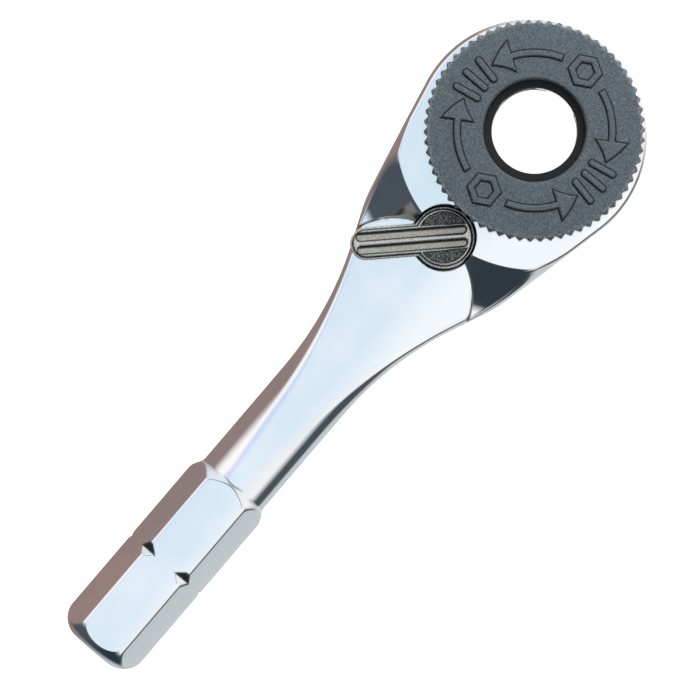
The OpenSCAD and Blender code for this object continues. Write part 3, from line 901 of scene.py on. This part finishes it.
class RATCHET_OT_spring(bpy.types.Operator):
    """Make the detent's coil spring from round wire"""

    bl_idname = "ratchet.spring"
    bl_label = "Detent spring"

    def execute(self, context):
        sizes = in_millimetres(context.scene.ratchet_spring)
        finish = bright_steel("spring_wire", context.scene.ratchet_finish)
        local, faces = spring_mesh(sizes)
        axis = Vector(joints["ball_slide"]["axis"])
        bore_turn = Matrix.Rotation(math.atan2(-axis.y, -axis.x), 3, "Z")
        points = local @ np.array(bore_turn).T + joint_place("lever_swing")
        piece = mesh_object("coil_spring", points, faces)
        place(piece, "lever", "detent_spring", finish)
        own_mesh(piece)
        return {"FINISHED"}


class RATCHET_OT_mechanism(bpy.types.Operator):
    """Give the gear, pawl, pin, ball and rings their finishes"""

    bl_idname = "ratchet.mechanism"
    bl_label = "Mechanism"

    def execute(self, context):
        colours = context.scene.ratchet_finish
        dark = oiled_steel(colours)
        bright = bright_steel("bright_steel", colours)
        finishes = {
            "drive_gear": oiled_steel(colours, context.scene.ratchet_bores),
            "pawl": dark,
            "gear_snap_ring": dark,
            "lever_clip": dark,
            "pawl_pin": bright,
            "detent_ball": bright,
            "bit_retaining_ring": bright,
        }
        for node, finish in finishes.items():
            mesh = frame["nodes"][node].data
            mesh.materials.clear()
            mesh.materials.append(finish)
        return {"FINISHED"}


# Finishes


def new_finish(name):
    """A material, its node tree and its shader."""
    made = bpy.data.materials.new(name)
    made.use_nodes = True
    return made, made.node_tree, made.node_tree.nodes["Principled BSDF"]


def fill(tree, node, inputs):
    """Gives a node's inputs their values or links."""
    for key, value in inputs.items():
        if isinstance(value, bpy.types.NodeSocket):
            tree.links.new(value, node.inputs[key])
        else:
            node.inputs[key].default_value = value


def add(tree, kind, inputs=None, **settings):
    """Adds a node with its settings and inputs."""
    node = tree.nodes.new(kind)
    for key, value in settings.items():
        setattr(node, key, value)
    fill(tree, node, inputs or {})
    return node


def object_place(tree):
    """The point on the piece, in the piece's own frame."""
    return add(tree, "ShaderNodeTexCoord").outputs["Object"]


def stretched(tree, spot, scale):
    """A point drawn out along the axes with a small scale."""
    return add(tree, "ShaderNodeMapping", {"Vector": spot, "Scale": scale}).outputs["Vector"]


def stored(tree, name):
    """A share stored with the mesh's points."""
    return add(tree, "ShaderNodeAttribute", attribute_name=name).outputs["Fac"]


def from_axis(tree, spot):
    """A point's distance from the upright axis, and its height."""
    split = add(tree, "ShaderNodeSeparateXYZ", {"Vector": spot})
    across = add(tree, "ShaderNodeCombineXYZ", {"X": split.outputs["X"], "Y": split.outputs["Y"]})
    out = add(tree, "ShaderNodeVectorMath", {0: across.outputs["Vector"]}, operation="LENGTH")
    return out.outputs["Value"], split.outputs["Z"]


def grain(tree, place_socket, size, detail=4.0, roughness=0.6):
    """Noise whose grains have a given size in metres."""
    settings = {"Vector": place_socket, "Scale": 1 / size, "Detail": detail, "Roughness": roughness}
    return add(tree, "ShaderNodeTexNoise", settings).outputs["Fac"]


def spread(tree, factor, low, high, out_low, out_high):
    """Maps a range of a factor to another range, held at its ends."""
    values = {"Value": factor, 1: low, 2: high, 3: out_low, 4: out_high}
    return add(tree, "ShaderNodeMapRange", values, clamp=True).outputs["Result"]


def math_node(tree, operation, first, second=0.0):
    """A math node's result."""
    return add(tree, "ShaderNodeMath", {0: first, 1: second}, operation=operation).outputs["Value"]


def mixed(tree, factor, first, second):
    """A blend of two colours, each a plain colour or a socket."""
    mix = add(tree, "ShaderNodeMix", data_type="RGBA")
    sockets = {"Factor_Float": factor, "A_Color": first, "B_Color": second}
    for socket in mix.inputs:
        value = sockets.get(socket.identifier)
        if value is None:
            continue
        if isinstance(value, bpy.types.NodeSocket):
            tree.links.new(value, socket)
        else:
            socket.default_value = value if isinstance(value, float) else (*value, 1)
    return next(socket for socket in mix.outputs if socket.identifier == "Result_Color")


def scaled(rgb, share):
    """A colour made darker or lighter."""
    return [channel * share for channel in rgb]


def toned(tree, factor, rgb, low, high):
    """A blend of two tones of one colour."""
    return mixed(tree, factor, scaled(rgb, low), scaled(rgb, high))


def bump(tree, height, depth):
    """Bump of a given depth in metres from a height between 0 and 1."""
    inputs = {"Height": height, "Distance": depth, "Strength": 1.0}
    return add(tree, "ShaderNodeBump", inputs).outputs["Normal"]


def polished_chrome(colours):
    """Chrome plate: near mirror, with a faint haze and the fine marks that polishing leaves; painted light
    makes one side cooler and darker and the other whiter, and the bore share paints dark steel and shade.
    """
    made, tree, shader = new_finish("polished_chrome")
    spot = object_place(tree)
    haze = grain(tree, spot, 6 * MM, 3)
    polish = grain(tree, stretched(tree, spot, (0.12, 1, 1)), 0.12 * MM, 3)
    # Bore share: dark steel with painted shade in the bores and on the low walls, rougher too.
    bore = stored(tree, "bore")
    # Painted light: the plate turns cooler and darker towards +Y and whiter towards -Y.
    across = add(tree, "ShaderNodeSeparateXYZ", {"Vector": spot}).outputs["Y"]
    plate = mixed(tree, spread(tree, across, 0.8 * MM, 2.2 * MM, 0, 1), colours.chrome, colours.chrome_cool)
    plate = mixed(tree, spread(tree, across, -0.6 * MM, -3.2 * MM, 0, 0.9), plate, colours.chrome_white)
    plate = mixed(tree, spread(tree, haze, 0.45, 0.7, 0, 0.35), plate, colours.chrome_white)
    hazy = spread(tree, haze, 0.3, 0.7, 0.06, 0.11)
    rough = math_node(tree, "ADD", hazy, spread(tree, polish, 0.4, 0.7, 0, 0.03))
    inputs = {
        "Base Color": mixed(tree, bore, plate, colours.gear),
        "Metallic": 1,
        "Roughness": math_node(tree, "ADD", rough, math_node(tree, "MULTIPLY", bore, 0.35)),
        "Normal": bump(tree, polish, 0.0004 * MM),
    }
    fill(tree, shader, inputs)
    return made


def dark_cast(colours, wheel):
    """Dark cast finish with a sandy grain, rubbed brighter along the knurl, and with painted shade round the
    marks.
    """
    made, tree, shader = new_finish("dark_cast")
    spot = object_place(tree)
    sand = grain(tree, spot, 0.13 * MM, 3, 0.7)
    cloud = grain(tree, spot, 1.6 * MM, 3)
    out, _ = from_axis(tree, spot)
    rubbed_width = 0.5
    rubbed = spread(tree, out, (wheel.tip_radius - rubbed_width) * MM, wheel.tip_radius * MM, 0, 1)
    rubbed = math_node(tree, "MULTIPLY", rubbed, spread(tree, sand, 0.42, 0.62, 0, 0.85))
    plain = toned(tree, cloud, colours.wheel, 0.86, 1.12)
    sandy = mixed(tree, spread(tree, sand, 0.35, 0.7, 0, 0.8), plain, scaled(colours.wheel, 2.6))
    specks = spread(tree, grain(tree, spot, 0.2 * MM, 2), 0.68, 0.76, 0, 0.6)
    shade = mixed(tree, specks, mixed(tree, rubbed, sandy, colours.wheel_wear), colours.wheel_wear)
    inputs = {
        # Painted shade: a dark line at the foot of each raised mark.
        "Base Color": mixed(tree, stored(tree, "foot"), shade, scaled(colours.wheel, 0.15)),
        "Metallic": 0.35,
        "Roughness": spread(tree, sand, 0.3, 0.7, 0.62, 0.46),
        "Normal": bump(tree, sand, 0.04 * MM),
    }
    fill(tree, shader, inputs)
    return made


def satin_nickel(colours):
    """Nickel plate, satin on the raised faces, with grained floors in the slots and beside the arm, and
    near-black painted shade on the walls.
    """
    made, tree, shader = new_finish("satin_nickel")
    spot = object_place(tree)
    sand = grain(tree, spot, 0.11 * MM, 3, 0.75)
    cloud = grain(tree, spot, 0.9 * MM, 3)
    slots = stored(tree, "slot_floor")
    hub = stored(tree, "hub_floor")
    wall = stored(tree, "wall")
    grit = spread(tree, sand, 0.35, 0.65, 0, 1)
    glints = spread(tree, sand, 0.45, 0.62, 0, 1)
    raised = toned(tree, grit, colours.nickel, 0.6, 1.4)
    slot_shade = toned(tree, grit, colours.slot_floor, 0.6, 1.15)
    hub_shade = toned(tree, glints, colours.hub_floor, 0.3, 3.2)
    shade = mixed(tree, hub, mixed(tree, slots, raised, slot_shade), hub_shade)
    floors = math_node(tree, "MAXIMUM", slots, hub)
    satin = spread(tree, cloud, 0.3, 0.7, 0.22, 0.34)
    pits = math_node(tree, "MULTIPLY", sand, spread(tree, floors, 0, 1, 0.5, 1))
    inputs = {
        # Painted shade: where the wall share is stored, the nickel turns to dark gear steel with no shine.
        "Base Color": mixed(tree, wall, shade, colours.gear),
        "Metallic": spread(tree, wall, 0, 1, 0.9, 0),
        "Specular IOR Level": spread(tree, wall, 0, 1, 0.5, 0),
        "Roughness": math_node(tree, "ADD", satin, math_node(tree, "MULTIPLY", floors, 0.2)),
        "Normal": bump(tree, pits, 0.03 * MM),
    }
    fill(tree, shader, inputs)
    return made


def oiled_steel(colours, bores=None):
    """Dark oiled steel of pawl and snap rings, or of the gear, whose socket is bright under its dark lip."""
    has_socket = bores is not None
    made, tree, shader = new_finish("gear_steel" if has_socket else "oiled_steel")
    spot = object_place(tree)
    cloud = grain(tree, spot, 1.2 * MM)
    lines = grain(tree, stretched(tree, spot, (1, 1, 0.1)), 0.1 * MM, 2)
    shade = toned(tree, cloud, colours.gear, 0.7, 1.5)
    rough = spread(tree, cloud, 0.3, 0.7, 0.5, 0.65)
    metallic = 0.5
    if has_socket:
        out, height = from_axis(tree, spot)
        inside = math_node(tree, "LESS_THAN", out, bores.socket_reach)
        bright = math_node(tree, "MULTIPLY", inside, math_node(tree, "LESS_THAN", height, bores.socket_top))
        shade = mixed(tree, bright, shade, colours.chrome_white)
        rough = math_node(tree, "MULTIPLY", rough, spread(tree, bright, 0, 1, 1, 0.15))
        metallic = spread(tree, bright, 0, 1, metallic, 1)
    inputs = {
        "Base Color": shade,
        "Metallic": metallic,
        "Specular IOR Level": 0.2,
        "Roughness": rough,
        "Normal": bump(tree, lines, 0.006 * MM),
    }
    fill(tree, shader, inputs)
    return made


def bright_steel(name, colours):
    """Bright drawn steel of the pin, the ball, the retaining ring and the spring."""
    made, tree, shader = new_finish(name)
    cloud = grain(tree, object_place(tree), 0.3 * MM)
    inputs = {
        "Base Color": toned(tree, cloud, colours.bright, 0.85, 1.1),
        "Metallic": 1,
        "Roughness": spread(tree, cloud, 0.3, 0.7, 0.14, 0.28),
    }
    fill(tree, shader, inputs)
    return made


# Stage


def sweep_floor(sizes):
    """A level round floor that runs up into a wall, so that every view has the same pale ground."""
    sides, bend_steps = 96, 12
    bend = sizes.wall_height / 2
    profile = [(sizes.floor_radius * share, 0) for share in (0.02, 0.1, 0.4, 1)]
    for a in np.linspace(0, math.pi / 2, bend_steps + 1)[1:]:
        profile.append((sizes.floor_radius + bend * math.sin(a), bend * (1 - math.cos(a))))
    profile.append((sizes.floor_radius + bend, sizes.wall_height))
    turn = np.arange(sides) * 2 * math.pi / sides
    rows = [ring(radius, height, turn) for radius, height in profile]
    middle = list(range(sides))
    return mesh_object("floor", np.concatenate(rows), strip_faces(len(rows), sides) + [middle])


def pale_floor(colours):
    """Pale matt paper that glows a little, so that it stays pale under the tool."""
    made, tree, shader = new_finish("pale_floor")
    mottle = grain(tree, object_place(tree), 40 * MM)
    shade = toned(tree, mottle, colours.floor, 0.98, 1)
    inputs = {"Base Color": shade, "Emission Color": shade, "Emission Strength": 1.02, "Roughness": 0.9}
    fill(tree, shader, inputs)
    return made


def ramp(tree, factor, stops):
    """Colours along a factor, each stop a place and a colour."""
    node = add(tree, "ShaderNodeValToRGB", {"Fac": factor})
    elements = node.color_ramp.elements
    while len(elements) < len(stops):
        elements.new(0.5)
    for element, (spot, rgb) in zip(elements, stops):
        element.position = spot
        element.color = (*rgb, 1)
    return node.outputs["Color"]


def studio_world():
    """Soft light all round: a bright cool overhead, darker walls, a warm side and a light side."""
    world = bpy.data.worlds.new("studio")
    world.use_nodes = True
    bpy.context.scene.world = world
    tree = world.node_tree
    way = add(tree, "ShaderNodeTexCoord").outputs["Generated"]
    x, y, z = add(tree, "ShaderNodeSeparateXYZ", {"Vector": way}).outputs
    height = spread(tree, z, -1, 1, 0, 1)
    slate, dark_slate = (0.085, 0.1, 0.115), (0.03, 0.043, 0.058)
    sky, white = (0.93, 1.03, 1.1), (1, 1.02, 1.04)
    warm, light, shade = (0.37, 0.258, 0.232), (0.57, 0.64, 0.67), (0.07, 0.088, 0.105)
    lilac, dusk, glow = (0.8, 0.86, 1.12), (0.4, 0.44, 0.48), (1.25, 1.17, 1.1)
    warm_side = ramp(
        tree, height, [(0.58, warm), (0.77, glow), (0.87, glow), (0.93, lilac), (0.95, lilac), (0.985, sky)]
    )
    light_side = ramp(
        tree, height, [(0.27, light), (0.33, shade), (0.52, shade), (0.68, white), (0.9, white), (0.97, sky)]
    )
    front_side = ramp(tree, height, [(0.83, white), (0.86, dusk), (0.92, dusk), (0.95, sky)])
    level = math_node(tree, "SQRT", math_node(tree, "SUBTRACT", 1.0, math_node(tree, "MULTIPLY", z, z)))
    level = math_node(tree, "MAXIMUM", level, 0.01)
    ahead = math_node(tree, "DIVIDE", x, level)
    aside = math_node(tree, "DIVIDE", y, level)
    left_share = spread(tree, aside, -0.3, 0.3, 0, 1)
    sides = mixed(tree, left_share, light_side, warm_side)
    dark_side = mixed(tree, left_share, dark_slate, slate)
    dark_side = mixed(tree, spread(tree, height, 0.93, 0.975, 0, 1), dark_side, sky)
    behind = math_node(
        tree, "MULTIPLY", spread(tree, ahead, -0.35, -0.8, 0, 1), spread(tree, z, -0.75, -0.45, 0, 1)
    )
    around = mixed(tree, behind, sides, dark_side)
    around = mixed(tree, spread(tree, ahead, 0.35, 0.8, 0, 1), around, front_side)
    around = mixed(tree, spread(tree, z, -0.96, -0.995, 0, 1), around, white)
    tree.links.new(around, tree.nodes["Background"].inputs["Color"])


def key_light(stage):
    """A soft light high on one side, for the wheel's and the lever's relief."""
    data = bpy.data.lights.new("key", "AREA")
    data.shape = "DISK"
    data.size = stage.key_size
    data.energy = stage.key_power
    made = bpy.data.objects.new("key", data)
    bpy.context.scene.collection.objects.link(made)
    made.location = stage.key_place
    made.rotation_euler = (-made.location).to_track_quat("-Z", "Y").to_euler()
    made.visible_glossy = False
    made.visible_camera = False


def photo_camera(stage):
    """The camera, nearly straight above the tool, which lies across the picture."""
    data = bpy.data.cameras.new("camera")
    data.sensor_width = 36
    data.lens = data.sensor_width * stage.distance / stage.span
    data.clip_start, data.clip_end = 0.01, 10
    made = bpy.data.objects.new("camera", data)
    bpy.context.scene.collection.objects.link(made)
    back = Vector((0, math.sin(stage.lean), math.cos(stage.lean)))
    up = Vector((-math.sin(stage.turn), math.cos(stage.turn), 0))
    right = up.cross(back).normalized()
    up = back.cross(right)
    facing = Matrix((right, up, back)).transposed().to_4x4()
    made.matrix_world = Matrix.Translation(Vector(stage.aim) + back * stage.distance) @ facing
    bpy.context.scene.camera = made


class RATCHET_OT_stage(bpy.types.Operator):
    """Make the floor, the light and the camera"""

    bl_idname = "ratchet.stage"
    bl_label = "Stage"

    def execute(self, context):
        stage = context.scene.ratchet_stage
        gap_below = 0.01 * MM
        floor = sweep_floor(in_millimetres(stage))
        floor.data.materials.append(pale_floor(context.scene.ratchet_finish))
        floor.location.z = -gap_below
        floor.visible_glossy = False
        floor.visible_diffuse = False
        floor.visible_shadow = False
        studio_world()
        key_light(stage)
        photo_camera(stage)
        context.scene.view_settings.view_transform = "Standard"
        return {"FINISHED"}


# Add-on

GROUPS = {
    "ratchet_handle": HandleSizes,
    "ratchet_bores": BoreSizes,
    "ratchet_wheel": WheelSizes,
    "ratchet_lever": LeverSizes,
    "ratchet_spring": SpringSizes,
    "ratchet_finish": FinishColours,
    "ratchet_stage": StageSizes,
}
OPERATORS = (
    RATCHET_OT_handle,
    RATCHET_OT_wheel,
    RATCHET_OT_lever,
    RATCHET_OT_spring,
    RATCHET_OT_mechanism,
    RATCHET_OT_stage,
)


class RATCHET_PT_panel(bpy.types.Panel):
    """Lists the pieces of the ratchet and their sizes"""

    bl_idname = "RATCHET_PT_panel"
    bl_label = "Mini Ratchet Wrench"
    bl_space_type = "VIEW_3D"
    bl_region_type = "UI"
    bl_category = "Ratchet"

    def draw(self, context):
        for operator in OPERATORS:
            self.layout.operator(operator.bl_idname)
        for key in GROUPS:
            group = getattr(context.scene, key)
            box = self.layout.box()
            box.label(text=group.__doc__)
            for name in group.__annotations__:
                box.prop(group, name)


def register():
    for key, group in GROUPS.items():
        bpy.utils.register_class(group)
        setattr(bpy.types.Scene, key, bpy.props.PointerProperty(type=group))
    for operator in OPERATORS:
        bpy.utils.register_class(operator)
    bpy.utils.register_class(RATCHET_PT_panel)


def unregister():
    bpy.utils.unregister_class(RATCHET_PT_panel)
    for operator in reversed(OPERATORS):
        bpy.utils.unregister_class(operator)
    for key, group in GROUPS.items():
        delattr(bpy.types.Scene, key)
        bpy.utils.unregister_class(group)


def main():
    """Builds every piece."""
    register()
    bpy.ops.ratchet.handle()
    bpy.ops.ratchet.wheel()
    bpy.ops.ratchet.lever()
    bpy.ops.ratchet.spring()
    bpy.ops.ratchet.mechanism()
    bpy.ops.ratchet.stage()


if __name__ == "__main__":
    main()
